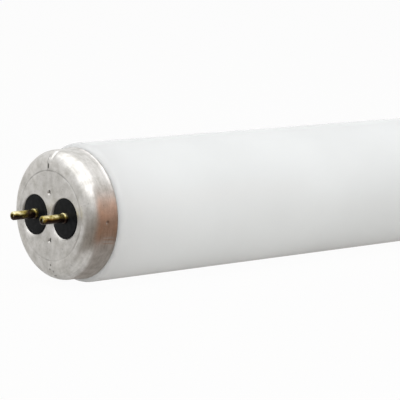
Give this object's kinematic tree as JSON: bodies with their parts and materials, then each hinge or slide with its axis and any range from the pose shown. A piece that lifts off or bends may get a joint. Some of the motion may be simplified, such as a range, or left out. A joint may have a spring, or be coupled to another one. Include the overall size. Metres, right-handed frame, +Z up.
{
  "type": "fluorescent tube",
  "caption": "Straight fluorescent tube: a long white coated glass tube with a rounded aluminium two-pin cap on each end, black insulators and hollow brass pins.",
  "frame": {"origin": "middle of the tube, on its axis and half way between the two cap faces", "axes": "+X along the tube towards its right end, +Y from the front pins to the rear pins, +Z up"},
  "size_m": [0.604, 0.0374, 0.0376],
  "materials": {
    "coated_glass": "smooth glass, opaque white from the powder coating inside",
    "aluminium": "drawn sheet, dull and lightly scratched",
    "phenolic": "moulded, slightly glossy black",
    "brass": "tarnished bare brass",
    "cement": "baked basing cement",
    "lead_wire": "plain nickel-plated wire"
  },
  "bodies": {
    "root": {"glass_tube": "coated_glass", "left_cap_shell": "aluminium", "left_insulator": "phenolic", "left_cement": "cement", "left_front_pin": "brass", "left_front_lead": "lead_wire", "left_rear_pin": "brass", "left_rear_lead": "lead_wire", "right_cap_shell": "aluminium", "right_insulator": "phenolic", "right_cement": "cement", "right_front_pin": "brass", "right_front_lead": "lead_wire", "right_rear_pin": "brass", "right_rear_lead": "lead_wire"}
  },
  "joints": []
}
